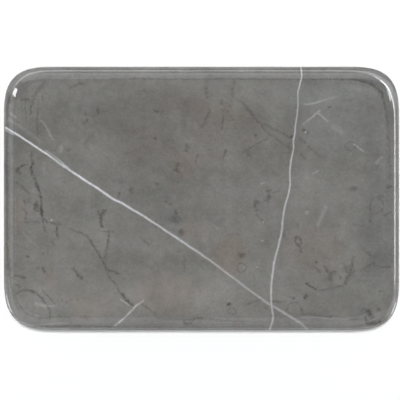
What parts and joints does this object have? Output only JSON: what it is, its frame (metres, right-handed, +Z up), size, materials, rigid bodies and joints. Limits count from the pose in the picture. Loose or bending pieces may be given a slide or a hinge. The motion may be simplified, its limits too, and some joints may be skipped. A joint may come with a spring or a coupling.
{
  "type": "catchall tray",
  "caption": "Shallow rectangular polished marble tray with softly rounded corners, a rounded rim sloping in to a flat sunk floor, and soft bumper feet under its corners.",
  "frame": {"origin": "on the table under the middle of the tray, at the flat undersides of its feet", "axes": "+X along the tray's length, to the right in the picture; +Y across it, up in the picture; +Z up, out of the tray's floor"},
  "size_m": [0.3048, 0.2032, 0.0234],
  "materials": {
    "polished_marble": "polished",
    "clear_bumper": "satin",
    "foam_tape": "matte"
  },
  "bodies": {
    "root": {"tray_body": "polished_marble", "foot_front_left": "clear_bumper", "foot_front_right": "clear_bumper", "foot_back_left": "clear_bumper", "foot_back_right": "clear_bumper", "foot_tape_front_left": "foam_tape", "foot_tape_front_right": "foam_tape", "foot_tape_back_left": "foam_tape", "foot_tape_back_right": "foam_tape"}
  },
  "joints": []
}
